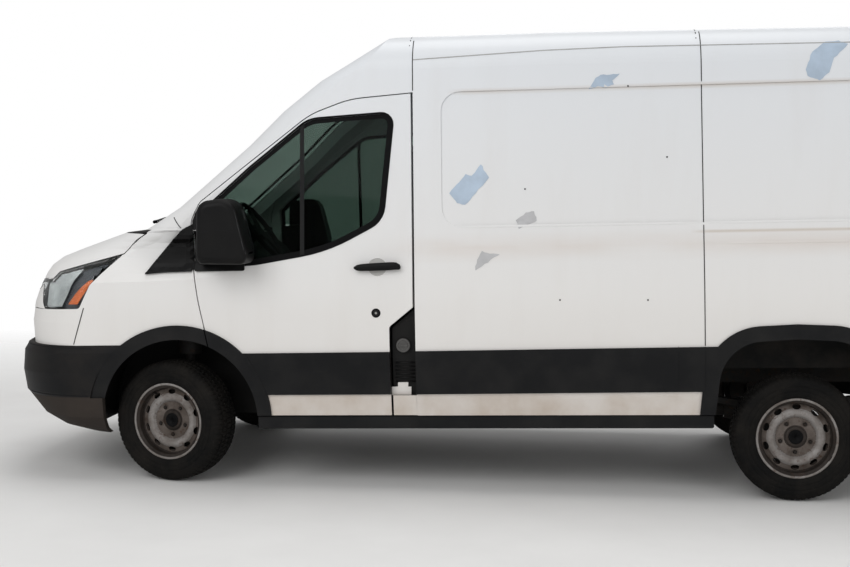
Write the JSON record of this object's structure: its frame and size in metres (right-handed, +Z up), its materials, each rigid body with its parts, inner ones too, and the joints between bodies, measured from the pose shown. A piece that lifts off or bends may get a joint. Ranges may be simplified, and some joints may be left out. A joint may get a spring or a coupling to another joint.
{
  "type": "high roof panel van",
  "caption": "Long panel van with a raised roof, steered front wheels, opening cab doors, bonnet and rear doors, and a hollow cab and load space.",
  "frame": {"origin": "centre of the van's box at the ground, under the body", "axes": "+X to the rear along the wheelbase, +Y to the van's right side, +Z up"},
  "size_m": [5.5348, 2.474, 2.4833],
  "materials": {
    "white_paint": "gloss white paint, dusty",
    "window_glass": "slightly green glass",
    "black_plastic": "grained black plastic",
    "lamp_clear": "clear lamp cover over a bright reflector",
    "lamp_red": "red lamp cover",
    "body_paint_inner": "thin paint on inner panels",
    "frame_steel": "black underbody paint",
    "engine_iron": "bare casting",
    "radiator_alloy": "dull core",
    "exhaust_steel": "stained tube",
    "tank_plastic": "moulded tank",
    "tyre": "worn rubber",
    "wheel_steel": "silver paint, dusty and rusting",
    "dash_plastic": "grained dark plastic",
    "seat_fabric": "dark woven cloth"
  },
  "bodies": {
    "body": {"floor_pan": "body_paint_inner", "side_left": "white_paint", "side_right": "white_paint", "sliding_door": "white_paint", "roof": "white_paint", "cab_roof": "white_paint", "windscreen": "window_glass", "cowl_panel": "black_plastic", "firewall": "body_paint_inner", "front_fenders": "white_paint", "bumper_cover": "white_paint", "bumper_skirt": "black_plastic", "grille": "black_plastic", "headlamps": "lamp_clear", "tail_lamps": "lamp_red", "rear_bumper": "black_plastic", "side_cladding": "black_plastic", "fuel_filler": "black_plastic", "chassis_rails": "frame_steel", "cross_members": "frame_steel", "rear_wheelhouses": "body_paint_inner", "engine": "engine_iron", "radiator": "radiator_alloy", "propshaft": "frame_steel", "exhaust": "exhaust_steel", "fuel_tank": "tank_plastic", "rear_axle": "frame_steel", "spare_wheel": "tyre", "dashboard": "dash_plastic", "steering_wheel": "dash_plastic", "seats": "seat_fabric"},
    "door_left": {"door_left": "white_paint", "door_glass_left": "window_glass", "door_cladding_left": "black_plastic", "mirror_left": "black_plastic"},
    "door_right": {"door_right": "white_paint", "door_glass_right": "window_glass", "door_cladding_right": "black_plastic", "mirror_right": "black_plastic"},
    "bonnet": {"bonnet": "white_paint"},
    "rear_door_left": {"rear_door_left": "white_paint"},
    "rear_door_right": {"rear_door_right": "white_paint"},
    "knuckle_left": {"knuckle_left": "frame_steel"},
    "knuckle_right": {"knuckle_right": "frame_steel"},
    "wheel_front_left": {"tyre_front_left": "tyre", "rim_front_left": "wheel_steel"},
    "wheel_front_right": {"tyre_front_right": "tyre", "rim_front_right": "wheel_steel"},
    "wheel_rear_left": {"tyre_rear_left": "tyre", "rim_rear_left": "wheel_steel"},
    "wheel_rear_right": {"tyre_rear_right": "tyre", "rim_rear_right": "wheel_steel"}
  },
  "joints": [
    {"name": "door_left_hinge", "type": "hinge", "parent": "body", "child": "door_left", "pos_m": [-1.60902, -1.022, 1.11185], "axis": [0.0276, 0, -0.9996], "range_deg": [0, 65]},
    {"name": "door_right_hinge", "type": "hinge", "parent": "body", "child": "door_right", "pos_m": [-1.60902, 1.022, 1.11185], "axis": [-0.0276, 0, 0.9996], "range_deg": [0, 65]},
    {"name": "bonnet_hinge", "type": "hinge", "parent": "body", "child": "bonnet", "pos_m": [-1.90087, 0, 1.35588], "axis": [0, 1, 0], "range_deg": [0, 50]},
    {"name": "rear_door_left_hinge", "type": "hinge", "parent": "body", "child": "rear_door_left", "pos_m": [2.69305, -0.85, 1.53085], "axis": [0.0276, 0, -0.9996], "range_deg": [0, 180]},
    {"name": "rear_door_right_hinge", "type": "hinge", "parent": "body", "child": "rear_door_right", "pos_m": [2.69305, 0.85, 1.53085], "axis": [-0.0276, 0, 0.9996], "range_deg": [0, 180]},
    {"name": "steer_left", "type": "hinge", "parent": "body", "child": "knuckle_left", "pos_m": [-1.70139, -0.715, 0.327], "axis": [0, 0, 1], "range_deg": [-21, 49]},
    {"name": "steer_right", "type": "hinge", "parent": "body", "child": "knuckle_right", "pos_m": [-1.70139, 0.715, 0.327], "axis": [0, 0, 1], "range_deg": [-21, 49]},
    {"name": "wheel_front_left_spin", "type": "hinge", "parent": "knuckle_left", "child": "wheel_front_left", "pos_m": [-1.73792, -0.86152, 0.327], "axis": [0.2419, 0.9703, 0], "continuous": true},
    {"name": "wheel_front_right_spin", "type": "hinge", "parent": "knuckle_right", "child": "wheel_front_right", "pos_m": [-1.66486, 0.86152, 0.327], "axis": [0.2419, 0.9703, 0], "continuous": true},
    {"name": "wheel_rear_left_spin", "type": "hinge", "parent": "body", "child": "wheel_rear_left", "pos_m": [1.56261, -0.8715, 0.327], "axis": [0, 1, 0], "continuous": true},
    {"name": "wheel_rear_right_spin", "type": "hinge", "parent": "body", "child": "wheel_rear_right", "pos_m": [1.56261, 0.8715, 0.327], "axis": [0, 1, 0], "continuous": true}
  ],
  "couplings": [
    {"joint": "steer_right", "follows": "steer_left", "ratio": 1}
  ]
}
